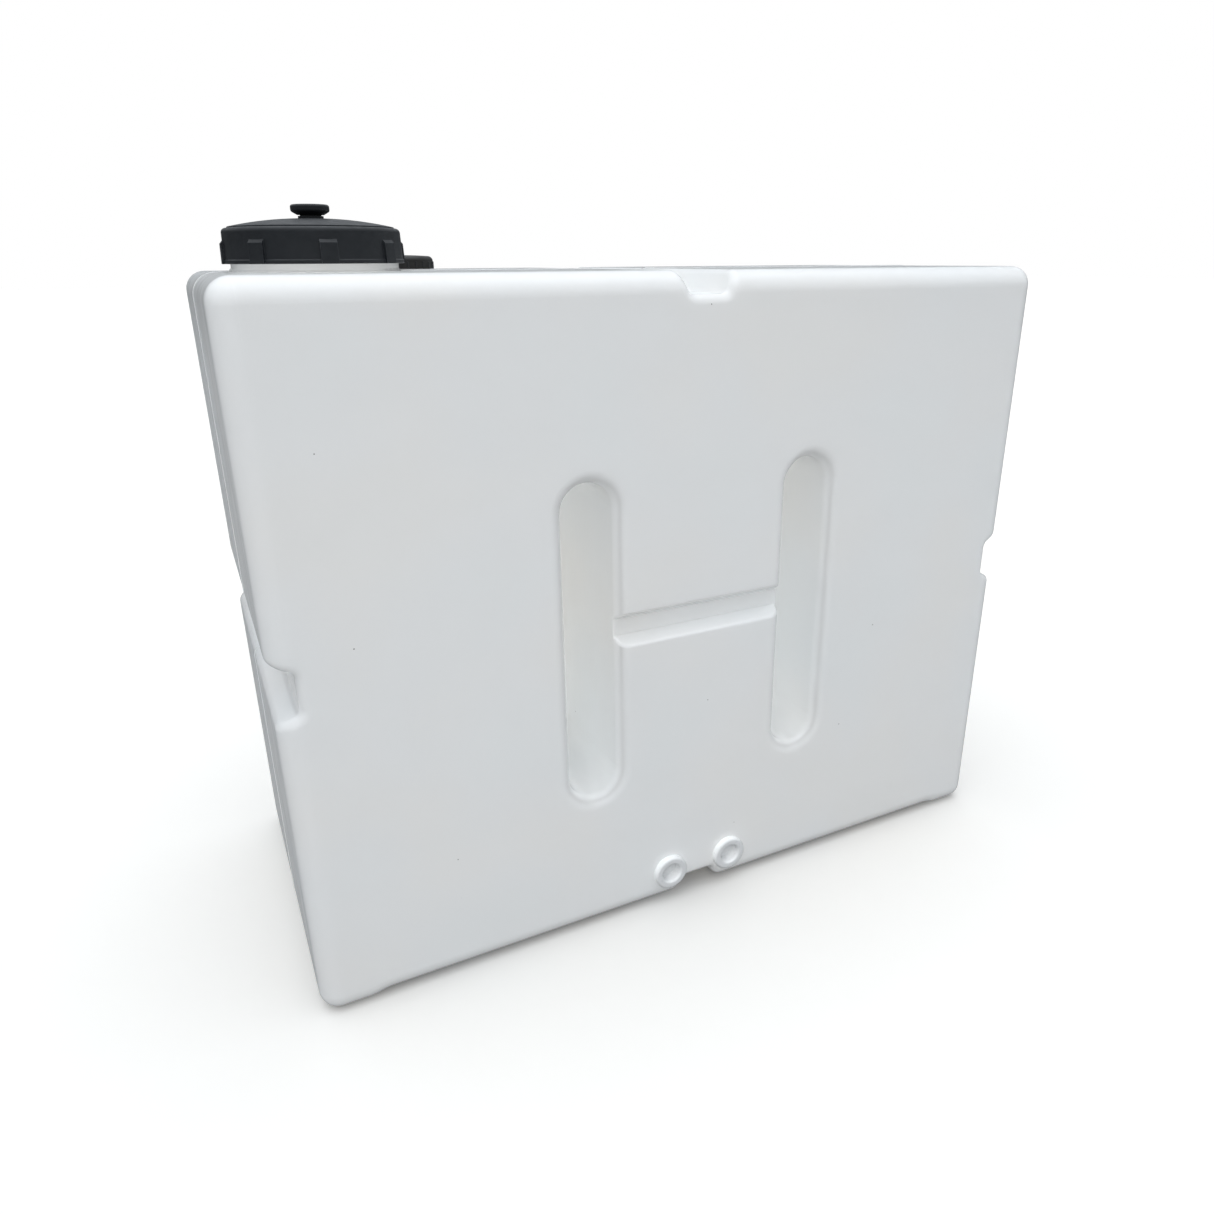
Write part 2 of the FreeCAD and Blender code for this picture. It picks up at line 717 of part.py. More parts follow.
def lid():
    """Screwed lid: skirt with a bead, shallow dome, flat seat for the vent and grip lugs."""
    body = new_body("lid", NECK_X, "0", "{height}")
    gasket_face = "({neck_height} + {lid_gasket})"
    hole = "({vent_stem_radius} + {vent_hole_clearance})"
    dome_edge = f"({LID_SHOULDER} - {{lid_flat}})"
    step = f"({LID_ROOF} + {{lid_step}})"
    hollow_edge = f"({NECK_BORE} - {{lid_roof_inset}})"
    under_dome = f"({step} - {{lid_roof}} + {{lid_roof_inset}})"
    under_seat = f"({VENT_SEAT} - {{vent_seat}})"
    points = [
        (LID_INNER, "{lid_bottom}"),
        (LID_INNER, gasket_face),
        (hollow_edge, gasket_face),
        (hollow_edge, under_dome),
        (SEAT_RADIUS, f"{VENT_SEAT} - {{lid_roof}}"),
        (SEAT_RADIUS, under_seat),
        (hole, under_seat),
        (hole, VENT_SEAT),
        (SEAT_RADIUS, VENT_SEAT),
        (dome_edge, step),
        (dome_edge, LID_ROOF),
        (LID_SHOULDER, LID_ROOF),
        (f"{LID_RIM} - {{lid_bead_step}}", "{lid_bottom} + {lid_bead} + {lid_bead_step}"),
        (LID_RIM, "{lid_bottom} + {lid_bead}"),
        (LID_RIM, "{lid_bottom}"),
    ]
    arcs = {8: "{lid_dome_radius}"}
    turned(body, "lid_turn", outline(body, "lid_outline", "XZ_Plane", points, arcs=arcs))
    roof = value(LID_ROOF)

    def shoulder(edge):
        radius = circle_radius(edge)
        return near(radius, value(LID_SHOULDER)) and near(middle(edge).z, roof)

    rounded(body, "lid_shoulder", "{lid_shoulder_blend}", shoulder)

    def small_edge(edge):
        radius = circle_radius(edge)
        level = middle(edge).z
        step_edge = near(radius, value(dome_edge)) and level > roof + 0.1
        bead_edge = near(radius, value(LID_RIM))
        return step_edge or bead_edge

    rounded(body, "lid_edges", "{lid_edge_radius}", small_edge)
    add_lugs(body)
    crest = f"({LID_INNER} - {{lid_thread_height}})"
    level = "({neck_height} - {lid_thread_rise} - {lid_thread_width} + {lid_pitch} / 2)"
    profile = ridge_profile(
        body, "lid_thread_outline", f"({LID_INNER} + 0.5)", crest, level, "{lid_thread_width}"
    )
    helix_ridge(body, "lid_thread", profile, "{lid_pitch}", "{lid_thread_rise} - {lid_pitch} / 2")
    keep(body, "lid")


def add_lugs(body):
    """Grip lugs round the skirt, each a flat-sided bar with a bevelled top."""
    top = f"({LID_ROOF} - {{lug_drop}})"
    inner = f"({LID_INNER} + 1)"
    points = [
        (inner, "{lid_bottom}"),
        (f"{LID_RIM} + {{lug_proud}} / 2", "{lid_bottom}"),
        (f"{LID_SHOULDER} + {{lug_proud}}", f"{top} - {{lug_bevel}}"),
        (LID_SHOULDER, top),
        (inner, top),
    ]
    lug = pad(body, "lug", outline(body, "lug_outline", "XZ_Plane", points), "{lug_width}", symmetric=True)
    around(body, "lugs", lug, "{lid_lugs}")


def vent_body():
    """Hollow threaded stem through the lid, with a guide for the knob held on thin arms."""
    body = new_body("vent_body", NECK_X, "0", f"{{height}} + {VENT_SEAT}")
    guide_bore = "({knob_stub_radius} + {running_clearance})"
    points = [
        (VENT_BORE, "-{vent_stem} + {vent_screen}"),
        (VENT_BORE, "{vent_flange}"),
        (VENT_FLANGE, "{vent_flange}"),
        (VENT_FLANGE, "0"),
        ("{vent_stem_radius}", "0"),
        ("{vent_stem_radius}", "-{vent_stem}"),
        (SCREEN_RADIUS, "-{vent_stem}"),
        (SCREEN_RADIUS, "-{vent_stem} + {vent_screen}"),
    ]
    turned(body, "vent_turn", outline(body, "vent_outline", "XZ_Plane", points))
    foot = "-{vent_guide}"
    outer = f"({guide_bore} + {{vent_guide_wall}})"
    points = [(guide_bore, foot), (outer, foot), (outer, "0"), (guide_bore, "0")]
    turned(body, "vent_guide", outline(body, "vent_guide_outline", "XZ_Plane", points))
    half = "{vent_arm_width} / 2"
    inner, reach = f"({guide_bore} + {{vent_guide_wall}} / 2)", f"({VENT_BORE} + 1)"
    points = [(inner, f"-{half}"), (reach, f"-{half}"), (reach, half), (inner, half)]
    profile = outline(body, "vent_arm_outline", "XY_Plane", points, offset=foot)
    around(body, "vent_arms", pad(body, "vent_arm", profile, "{vent_guide}"), "{vent_arms}")
    keep(body, "vent_body")


def vent_fixings():
    """Rubber washer and hexagonal nut that clamp the vent from below the lid."""
    x, z = NECK_X, f"{{height}} + {VENT_SEAT} - {{vent_seat}}"
    stem = "{vent_stem_radius}"
    outer = f"{stem} + {{vent_washer_width}}"
    washer = ring("vent_washer", stem, outer, "-{vent_washer}", "0", x, "0", z)
    keep(washer, "vent_washer")
    body = new_body("vent_nut", x, "0", f"{z} - {{vent_washer}} - {{vent_nut}}")
    corner = "(({vent_stem_radius} + {vent_nut_wall}) * 2 / sqrt(3))"
    points = [(f"{corner} * cos({60 * n})", f"{corner} * sin({60 * n})") for n in range(6)]
    pad(body, "nut_block", outline(body, "nut_outline", "XY_Plane", points), "{vent_nut}")
    hole = disc(body, "nut_hole_outline", "XY_Plane", stem)
    pocket(body, "nut_hole", hole, "{vent_nut}", toward_normal=True)
    keep(body, "vent_nut")


def vent_screen():
    """Thin perforated disc that keeps insects out of the stem."""
    z = f"{{height}} + {VENT_SEAT} - {{vent_stem}}"
    body = new_body("vent_screen", NECK_X, "0", z)
    pad(body, "screen_disc", disc(body, "screen_outline", "XY_Plane", SCREEN_RADIUS), "{vent_screen}")
    radius = "{screen_hole_radius}"
    for turn, count in ((0, 1), (1, 6), (2, 12)):
        place = f"{turn} * {{screen_pitch}}"
        profile = disc(body, f"screen_hole_{turn}_outline", "XY_Plane", radius, x=place)
        hole = pocket(body, f"screen_hole_{turn}", profile, "{vent_screen}", toward_normal=True)
        if count > 1:
            around(body, f"screen_ring_{turn}", hole, str(count))
    keep(body, "vent_screen")


def vent_seal():
    """Rubber disc under the knob that shuts the vent when the knob is screwed down."""
    z = f"{{height}} + {VENT_SEAT} + {{vent_flange}}"
    inner = "{knob_stub_radius} + {running_clearance}"
    outer = f"{VENT_FLANGE} - {{vent_seal_margin}}"
    body = ring("vent_seal", inner, outer, "0", "{vent_seal}", NECK_X, "0", z)
    keep(body, "vent_seal")


def vent_knob():
    """Round knob with a stub that runs in the vent's guide."""
    z = f"{{height}} + {VENT_SEAT} + {{vent_flange}} + {{vent_seal}}"
    body = new_body("vent_knob", NECK_X, "0", z)
    points = [
        ("0", "-{knob_stub}"),
        ("{knob_stub_radius}", "-{knob_stub}"),
        ("{knob_stub_radius}", "0"),
        ("{knob_base_radius}", "0"),
        ("{knob_radius}", "{knob_taper}"),
        ("{knob_radius}", "{knob_height}"),
        ("0", "{knob_height}"),
    ]
    turned(body, "knob_turn", outline(body, "knob_outline", "XZ_Plane", points))
    radius = value("{knob_radius}")
    rounded(
        body, "knob_edges", "{knob_edge_radius}", lambda edge: near(circle_radius(edge), radius)
    )
    keep(body, "vent_knob")


# ---------------------------------------------------------------- small port
def port_seal():
    """Flat rubber ring under the small cap."""
    bore = "{port_radius} - {port_wall}"
    place = (PORT_X, PORT_Y, "{height}")
    body = ring("port_seal", bore, "{port_radius}", "{port_height}", PORT_FACE, *place)
    keep(body, "port_seal")


def port_cap():
    """Low screwed cap with a slightly domed top and grip ribs."""
    body = new_body("port_cap", PORT_X, PORT_Y, "{height}")
    roof = f"({PORT_FACE} + {{port_cap_roof}})"
    points = [
        (PORT_INNER, "{port_cap_bottom}"),
        (PORT_INNER, PORT_FACE),
        ("0", PORT_FACE),
        ("0", f"{roof} + {{port_cap_dome}}"),
        (PORT_RIM, roof),
        (PORT_RIM, "{port_cap_bottom}"),
    ]
    dome = f"(({PORT_RIM} ^ 2 + {{port_cap_dome}} ^ 2) / 2 / {{port_cap_dome}})"
    turned(body, "port_cap_turn", outline(body, "port_cap_outline", "XZ_Plane", points, arcs={3: dome}))
    edge_radius, level = value(PORT_RIM), value(roof)

    def edge_of_top(edge):
        return near(circle_radius(edge), edge_radius) and near(middle(edge).z, level)

    rounded(body, "port_cap_edge", "{port_cap_edge_radius}", edge_of_top)
    half = "{port_rib_width} / 2"
    reach = f"({PORT_RIM} + {{port_rib_proud}})"
    inner = f"({PORT_RIM} - 1)"
    points = [(inner, f"-{half}"), (reach, f"-{half} / 2"), (reach, f"{half} / 2"), (inner, half)]
    profile = outline(body, "port_rib_outline", "XY_Plane", points, offset="{port_cap_bottom}")
    rib = pad(body, "port_rib", profile, f"{roof} - {{port_cap_bottom}} - {{port_cap_edge_radius}}")
    around(body, "port_ribs", rib, "{port_cap_ribs}")
    crest = f"({PORT_INNER} - {{port_thread_height}})"
    level = "({port_height} - {port_thread_rise} - {port_thread_width} + {port_pitch} / 2)"
    profile = ridge_profile(
        body, "port_cap_thread_outline", f"({PORT_INNER} + 0.5)", crest, level, "{port_thread_width}"
    )
    helix_ridge(body, "port_cap_thread", profile, "{port_pitch}", "{port_thread_rise} - {port_pitch} / 2")
    keep(body, "port_cap")


def build():
    tank_shell()
    outlet_inserts()
    lid_gasket()
    lid()
    vent_body()
    vent_fixings()
    vent_screen()
    vent_seal()
    vent_knob()
    port_seal()
    port_cap()
    doc.recompute()


def write_parts():
    """Check every object, then write one STEP file for each sub-part."""
    for item in doc.Objects:
        if "Invalid" in item.State or "Error" in item.State:
            raise RuntimeError(f"{item.Name} failed to compute")
    for item in PARTS:
        if item.Shape.isNull() or not item.Shape.isValid():
            raise RuntimeError(f"{item.Label} has no valid shape")
        if len(item.Shape.Solids) != 1:
            raise RuntimeError(f"{item.Label} has {len(item.Shape.Solids)} solids")
    os.makedirs("parts", exist_ok=True)
    for item in PARTS:
        item.Shape.exportStep(f"parts/{item.Label}.step")


build()
write_parts()
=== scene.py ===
"""Looks of the upright fresh water tank: materials, moulding details, camera and soft studio."""
import json
import math

import bmesh
import bpy
from mathutils import Matrix, Vector


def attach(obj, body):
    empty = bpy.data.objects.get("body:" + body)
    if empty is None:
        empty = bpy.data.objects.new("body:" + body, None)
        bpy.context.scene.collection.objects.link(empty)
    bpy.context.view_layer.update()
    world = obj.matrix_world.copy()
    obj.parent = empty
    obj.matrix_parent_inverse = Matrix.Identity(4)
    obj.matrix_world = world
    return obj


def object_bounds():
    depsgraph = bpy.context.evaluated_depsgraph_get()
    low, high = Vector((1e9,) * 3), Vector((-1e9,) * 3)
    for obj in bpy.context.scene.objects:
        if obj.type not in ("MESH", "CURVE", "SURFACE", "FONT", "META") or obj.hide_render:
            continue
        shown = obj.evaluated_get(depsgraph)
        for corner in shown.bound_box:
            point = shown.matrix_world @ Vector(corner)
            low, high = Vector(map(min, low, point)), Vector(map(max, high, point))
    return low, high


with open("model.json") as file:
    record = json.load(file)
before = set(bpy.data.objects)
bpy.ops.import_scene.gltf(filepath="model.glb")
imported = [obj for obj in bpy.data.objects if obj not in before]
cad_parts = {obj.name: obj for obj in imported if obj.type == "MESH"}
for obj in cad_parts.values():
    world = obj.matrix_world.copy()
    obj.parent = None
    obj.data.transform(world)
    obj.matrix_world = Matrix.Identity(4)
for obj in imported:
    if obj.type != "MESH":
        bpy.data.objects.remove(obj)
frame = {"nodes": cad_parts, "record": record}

CAD_LOW, CAD_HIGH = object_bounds()
NODES = frame["nodes"]
MM = 0.001

# Colours, as sRGB hex codes.
TANK_COOL, TANK_WARM = "#f2f6f8", "#f6f5f2"
SPECK = "#5f5c56"
OUTLET_COOL, OUTLET_WARM = "#f4f6f6", "#fafafa"
LID_BLACK, LID_DUST = "#1e2125", "#33363b"
PORT_BLACK, PORT_DUST = "#1b1917", "#302d29"
# Paler colour on the lid's edges: a painted highlight where a rounded edge would catch light, and
# wear.
EDGE_HIGHLIGHT_AND_WEAR = "#585b60"
RUBBER_DARK, RUBBER_BLOOM = "#141414", "#232322"
STAINLESS = "#c3c2bf"

# Index of refraction of each plastic and of the rubber.
POLYETHYLENE_IOR = 1.51
POLYPROPYLENE_IOR = 1.49
RUBBER_IOR = 1.52

# Dark specks in the tank's skin: how many cells to a metre, and a speck's radius in millimetres.
SPECKS_PER_METRE = 15.0
SPECK_RADIUS = 0.9
# How far light scatters in the tank's wall, and how wide the lid's edges painted paler are, as a
# painted highlight and as wear.
WALL_SCATTER = 14 * MM
EDGE_WIDTH = 0.9 * MM

# Camera: place in metres; heading, pitch and roll in degrees; lens and sensor in millimetres;
# shift as a share of the sensor; and how far it sees, in metres.
CAMERA_PLACE = (-0.622, -1.285, 0.953)
CAMERA_TURN = (27.0, -20.7, -0.3)
CAMERA_LENS, CAMERA_SENSOR = 26.585, 36
CAMERA_SHIFT = (-0.0261, -0.0077)
CAMERA_REACH = 60

# Parting line, in millimetres: how far off the middle it is cut, where it stops, and its bead.
OFF_MIDDLE = 1
ABOVE_FLOOR, UP_THE_NECK = 2, 8
BEAD = {"Step": 6, "Width": 3.0, "Height": 2.0, "Wander": 1.6}
BEAD_SIDES = 10
SWAYS_PER_METRE = 22.0


# ---------------------------------------------------------------- small helpers
def linear(code):
    """Linear RGBA of an sRGB hex colour."""
    channels = [int(code[n:n + 2], 16) / 255 for n in (1, 3, 5)]
    spread = [c / 12.92 if c <= 0.04045 else ((c + 0.055) / 1.055) ** 2.4 for c in channels]
    return (*spread, 1.0)


def add_node(tree, kind, links=None, values=None, **settings):
    """Add a node, set its properties and socket values, and link sockets into its inputs."""
    made = tree.nodes.new(kind)
    for name, setting in settings.items():
        setattr(made, name, setting)
    for socket, number in (values or {}).items():
        made.inputs[socket].default_value = number
    for socket, source in (links or {}).items():
        tree.links.new(source, made.inputs[socket])
    return made


# ---------------------------------------------------------------- camera
def place_camera():
    """Camera level with the tank's top, off its front left corner, looking down at it."""
    data = bpy.data.cameras.new("studio_camera")
    data.sensor_width = CAMERA_SENSOR
    data.lens = CAMERA_LENS
    data.shift_x, data.shift_y = CAMERA_SHIFT
    data.clip_end = CAMERA_REACH
    camera = bpy.data.objects.new("studio_camera", data)
    bpy.context.scene.collection.objects.link(camera)
    heading, pitch, roll = (math.radians(angle) for angle in CAMERA_TURN)
    turn = Matrix.Rotation(-heading, 4, "Z") @ Matrix.Rotation(math.pi / 2 + pitch, 4, "X")
    unrolled = Matrix.Translation(CAMERA_PLACE) @ turn
    camera.matrix_world = unrolled @ Matrix.Rotation(roll, 4, "Z")
    bpy.context.scene.camera = camera


# ---------------------------------------------------------------- materials
def new_material(name):
    """Empty material with a Principled shader wired to its output."""
    material = bpy.data.materials.new(name)
    material.use_nodes = True
    tree = material.node_tree
    tree.nodes.clear()
    shader = add_node(tree, "ShaderNodeBsdfPrincipled")
    add_node(tree, "ShaderNodeOutputMaterial", {"Surface": shader.outputs["BSDF"]})
    return material, tree, shader


def noise(tree, place, size, detail=2.0, stretch=(1, 1, 1)):
    """Noise whose features are about size millimetres across."""
    scale = 1 / (size * MM)
    spread = add_node(
        tree, "ShaderNodeMapping", {"Vector": place}, {"Scale": [scale * part for part in stretch]}
    )
    return add_node(
        tree,
        "ShaderNodeTexNoise",
        {"Vector": spread.outputs["Vector"]},
        {"Scale": 1.0, "Detail": detail, "Roughness": 0.5},
    ).outputs["Fac"]


def blend(tree, factor, first, second):
    """Colour that runs from the first to the second as the factor goes from 0 to 1."""
    mix = add_node(tree, "ShaderNodeMix", data_type="RGBA")
    for socket, part in zip(("Factor", "A", "B"), (factor, first, second)):
        pin = next(i for i in mix.inputs if i.name == socket and i.enabled)
        if isinstance(part, bpy.types.NodeSocket):
            tree.links.new(part, pin)
        else:
            pin.default_value = part
    return next(o for o in mix.outputs if o.enabled)


def ramp(tree, value, low, high, start=0.0, end=1.0):
    """Value rescaled so that low to high becomes start to end."""
    return add_node(
        tree,
        "ShaderNodeMapRange",
        {"Value": value},
        {"From Min": low, "From Max": high, "To Min": start, "To Max": end},
    ).outputs["Result"]


def bump(tree, height, depth, normal=None):
    """Bump of a depth in millimetres from a height between 0 and 1."""
    links = {"Height": height}
    if normal:
        links["Normal"] = normal
    return add_node(
        tree, "ShaderNodeBump", links, {"Strength": 1.0, "Distance": depth * MM}
    ).outputs["Normal"]


def moulded_polyethylene():
    """Natural rotomoulded polyethylene.

    A waxy, faintly see-through white: light passes the 6 mm wall and fills the grooves, the
    skin has a soft satin sheen with a broad ripple, and a few dark specks show in it.
    """
    material, tree, shader = new_material("rotomoulded_polyethylene")
    place = add_node(tree, "ShaderNodeTexCoord").outputs["Object"]
    cloud = ramp(tree, noise(tree, place, 260, 1.5), 0.35, 0.65)
    colour = blend(tree, cloud, linear(TANK_COOL), linear(TANK_WARM))
    spots = add_node(tree, "ShaderNodeTexVoronoi", {"Vector": place}, {"Scale": SPECKS_PER_METRE})
    size = SPECK_RADIUS * MM * SPECKS_PER_METRE
    speck = ramp(tree, spots.outputs["Distance"], 0.8 * size, 1.1 * size, 0.85, 0.0)
    colour = blend(tree, speck, colour, linear(SPECK))
    tree.links.new(colour, shader.inputs["Base Color"])
    streak = noise(tree, place, 16, 3.0, (0.35, 2.2, 0.22))
    tree.links.new(ramp(tree, streak, 0.3, 0.7, 0.15, 0.27), shader.inputs["Roughness"])
    ripple = bump(tree, noise(tree, place, 85, 1.0), 1.1)
    skin = bump(tree, noise(tree, place, 5.0, 2.0), 0.05, ripple)
    tree.links.new(skin, shader.inputs["Normal"])
    shader.inputs["IOR"].default_value = POLYETHYLENE_IOR
    shader.inputs["Subsurface Weight"].default_value = 1.0
    shader.inputs["Subsurface Radius"].default_value = (1.0, 1.0, 1.0)
    shader.inputs["Subsurface Scale"].default_value = WALL_SCATTER
    return material


def white_polyethylene():
    """Injection-moulded white polyethylene: opaque, smooth and a little glossier."""
    material, tree, shader = new_material("white_polyethylene")
    place = add_node(tree, "ShaderNodeTexCoord").outputs["Object"]
    colour = blend(tree, noise(tree, place, 30), linear(OUTLET_COOL), linear(OUTLET_WARM))
    tree.links.new(colour, shader.inputs["Base Color"])
    rough = ramp(tree, noise(tree, place, 6), 0.3, 0.7, 0.26, 0.36)
    tree.links.new(rough, shader.inputs["Roughness"])
    tree.links.new(bump(tree, noise(tree, place, 2.5), 0.02), shader.inputs["Normal"])
    shader.inputs["IOR"].default_value = POLYETHYLENE_IOR
    return material


def moulded_polypropylene(name, tint, dusty):
    """Injection-moulded polypropylene.

    Nearly black with a spark-eroded grain of about 0.4 mm, drawn at 1.2 mm so that it shows,
    a satin sheen, edges painted paler as a painted highlight and as wear, and a thin film of paler
    dust on what faces up.
    """
    material, tree, shader = new_material(name)
    coordinates = add_node(tree, "ShaderNodeTexCoord")
    place = coordinates.outputs["Object"]
    facing = add_node(
        tree, "ShaderNodeSeparateXYZ", {"Vector": coordinates.outputs["Normal"]}
    ).outputs["Z"]
    upward = ramp(tree, facing, 0.35, 1.0, 0.0, 0.35)
    patchy = ramp(tree, noise(tree, place, 22, 3.0), 0.35, 0.7)
    dust = add_node(tree, "ShaderNodeMath", {0: upward, 1: patchy}, operation="MULTIPLY").outputs[0]
    colour = blend(tree, dust, linear(tint), linear(dusty))
    flat = add_node(tree, "ShaderNodeNewGeometry").outputs["Normal"]
    rounded = add_node(
        tree, "ShaderNodeBevel", values={"Radius": EDGE_WIDTH}, samples=6
    ).outputs["Normal"]
    likeness = add_node(
        tree, "ShaderNodeVectorMath", {0: flat, 1: rounded}, operation="DOT_PRODUCT"
    ).outputs["Value"]
    # Edges painted paler: a painted highlight where the rounded edge would catch light, and wear.
    edge_highlight_and_wear = ramp(tree, likeness, 0.97, 0.80, 0.0, 0.7)
    colour = blend(tree, edge_highlight_and_wear, colour, linear(EDGE_HIGHLIGHT_AND_WEAR))
    tree.links.new(colour, shader.inputs["Base Color"])
    rough = ramp(tree, noise(tree, place, 9, 2.0), 0.3, 0.7, 0.36, 0.5)
    tree.links.new(rough, shader.inputs["Roughness"])
    tree.links.new(bump(tree, noise(tree, place, 1.2, 1.0), 0.03), shader.inputs["Normal"])
    shader.inputs["IOR"].default_value = POLYPROPYLENE_IOR
    return material


def seal_rubber():
    """EPDM rubber: matt, dark grey, with a faint bloom."""
    material, tree, shader = new_material("epdm_rubber")
    place = add_node(tree, "ShaderNodeTexCoord").outputs["Object"]
    colour = blend(tree, noise(tree, place, 4, 3.0), linear(RUBBER_DARK), linear(RUBBER_BLOOM))
    tree.links.new(colour, shader.inputs["Base Color"])
    tree.links.new(bump(tree, noise(tree, place, 0.8), 0.02), shader.inputs["Normal"])
    shader.inputs["Roughness"].default_value = 0.75
    shader.inputs["IOR"].default_value = RUBBER_IOR
    return material


def perforated_steel():
    """Stainless sheet: bright, with the fine lines of rolling along one way."""
    material, tree, shader = new_material("stainless_sheet")
    place = add_node(tree, "ShaderNodeTexCoord").outputs["Object"]
    lines = noise(tree, place, 1.5, 3.0, (0.1, 3.0, 1.0))
    tree.links.new(ramp(tree, lines, 0.3, 0.7, 0.24, 0.42), shader.inputs["Roughness"])
    shader.inputs["Base Color"].default_value = linear(STAINLESS)
    shader.inputs["Metallic"].default_value = 1.0
    return material


def finish_nodes():
    """Give every CAD node the finish of its slot, and return the finishes by slot."""
    finishes = {
        "natural_polyethylene": moulded_polyethylene(),
        "white_polyethylene": white_polyethylene(),
        "black_polypropylene": moulded_polypropylene("black_polypropylene", LID_BLACK, LID_DUST),
        "dark_polypropylene": moulded_polypropylene("dark_polypropylene", PORT_BLACK, PORT_DUST),
        "seal_rubber": seal_rubber(),
        "screen_steel": perforated_steel(),
    }
    for part in frame["record"]["subparts"]:
        for slot in NODES[part["node"]].material_slots:
            slot.material = finishes[part["material_slot"]]
    return finishes


# ---------------------------------------------------------------- parting line
def middle_outline():
    """Points and edges where the mould's halves met: up both ends and over the top.

    The cut is made a little off the middle, where no seam of the model lies, and moved back. It
    stops just above the floor and a little way up the neck. The inside of the tank is cut too,
    but it doesn't join the ends, so it is left out.
    """
    tank = bmesh.new()
    tank.from_mesh(NODES["tank_body"].data)
    bmesh.ops.remove_doubles(tank, verts=tank.verts, dist=0.01 * MM)
    top = max(vert.co.z for vert in tank.verts if vert.co.x > 0)
    whole = tank.verts[:] + tank.edges[:] + tank.faces[:]
    cut = bmesh.ops.bisect_plane(
        tank, geom=whole, plane_co=(0, OFF_MIDDLE * MM, 0), plane_no=(0, 1, 0)
    )["geom_cut"]
    lowest, highest = ABOVE_FLOOR * MM, top + UP_THE_NECK * MM
    wanted = {
        part for part in cut
        if isinstance(part, bmesh.types.BMEdge)
        and all(lowest < vert.co.z < highest for vert in part.verts)
    }
    end = CAD_HIGH[0] - 0.5 * MM
    waiting = [vert for edge in wanted for vert in edge.verts if abs(vert.co.x) > end]
    places, steps = {}, []
    while waiting:
        vert = waiting.pop()
        if vert in places:
            continue
        places[vert] = len(places)
        waiting += [edge.other_vert(vert) for edge in vert.link_edges if edge in wanted]
    for edge in wanted:
        if edge.verts[0] in places:
            steps.append([places[vert] for vert in edge.verts])
    points = [(vert.co.x, 0.0, vert.co.z) for vert in places]
    tank.free()
    return points, steps


def bead_nodes(material):
    """Geometry nodes: a low bead with a slight wander along the edges of a mesh.

    The bead is an ellipse of the given width and height, swept along the line, so that half of
    its height stands proud of the tank.
    """
    tree = bpy.data.node_groups.new("parting_bead", "GeometryNodeTree")
    face = tree.interface
    face.new_socket("Geometry", in_out="OUTPUT", socket_type="NodeSocketGeometry")
    face.new_socket("Geometry", in_out="INPUT", socket_type="NodeSocketGeometry")
    for name in BEAD:
        face.new_socket(name, in_out="INPUT", socket_type="NodeSocketFloat")
    given = add_node(tree, "NodeGroupInput").outputs
    line = add_node(tree, "GeometryNodeMeshToCurve", {"Mesh": given["Geometry"]})
    even = add_node(
        tree,
        "GeometryNodeResampleCurve",
        {"Curve": line.outputs[0], "Length": given["Step"]},
        mode="LENGTH",
    )
    place = add_node(tree, "GeometryNodeInputPosition").outputs[0]
    sway = add_node(
        tree,
        "ShaderNodeTexNoise",
        {"Vector": place},
        {"Scale": SWAYS_PER_METRE, "Detail": 1.0},
        noise_dimensions="3D",
    )
    centred = add_node(
        tree, "ShaderNodeMath", {0: sway.outputs["Fac"]}, {1: 0.5}, operation="SUBTRACT"
    ).outputs[0]
    shift = add_node(
        tree, "ShaderNodeMath", {0: centred, 1: given["Wander"]}, operation="MULTIPLY"
    ).outputs[0]
    offset = add_node(tree, "ShaderNodeCombineXYZ", {"Y": shift}).outputs[0]
    moved = add_node(
        tree, "GeometryNodeSetPosition", {"Geometry": even.outputs[0], "Offset": offset}
    )
    upright = add_node(
        tree,
        "GeometryNodeSetCurveNormal",
        {"Curve": moved.outputs[0]},
        {"Normal": (0, 1, 0)},
        mode="FREE",
    )
    ring = add_node(
        tree, "GeometryNodeCurvePrimitiveCircle", values={"Resolution": BEAD_SIDES, "Radius": 0.5}
    )
    size = add_node(
        tree, "ShaderNodeCombineXYZ", {"X": given["Width"], "Y": given["Height"]}
    ).outputs[0]
    section = add_node(
        tree, "GeometryNodeTransform", {"Geometry": ring.outputs[0], "Scale": size}
    )
    bead = add_node(
        tree,
        "GeometryNodeCurveToMesh",
        {"Curve": upright.outputs[0], "Profile Curve": section.outputs[0]},
        {"Fill Caps": True},
    )
    real = add_node(tree, "GeometryNodeRealizeInstances", {"Geometry": bead.outputs[0]})
    coated = add_node(
        tree, "GeometryNodeSetMaterial", {"Geometry": real.outputs[0]}, {"Material": material}
    )
    add_node(tree, "NodeGroupOutput", {"Geometry": coated.outputs[0]})
    return tree


def parting_line(material):
    """Low bead of polyethylene where the mould's halves met."""
    points, steps = middle_outline()
    guide = bpy.data.meshes.new("parting_guide")
    guide.from_pydata(points, steps, [])
    bead = bpy.data.objects.new("parting_line", guide)
    bpy.context.scene.collection.objects.link(bead)
    nodes = bead.modifiers.new("bead", "NODES")
    nodes.node_group = bead_nodes(material)
    for socket in nodes.node_group.interface.items_tree:
        if socket.name in BEAD:
            nodes[socket.identifier] = BEAD[socket.name] * MM
    view = bpy.context.evaluated_depsgraph_get()
    finished = bpy.data.meshes.new_from_object(bead.evaluated_get(view))
    bead.modifiers.clear()
    bead.data = finished
    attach(bead, "tank")
    return bead


# ---------------------------------------------------------------- studio
# Light of the room by height, from 0 straight down through 0.5 at the horizon to 1 overhead.
WORLD_LIGHT = (
    (0.0, 0.26), (0.45, 0.26), (0.5, 0.06), (0.57, 0.06), (0.64, 0.55),
    (0.73, 0.65), (0.86, 0.70), (0.93, 1.60), (1.0, 1.70),
)
# The room is a little cooler than neutral: red, green and blue for each unit of its light.
ROOM_TINT = (0.95, 1, 1.05)
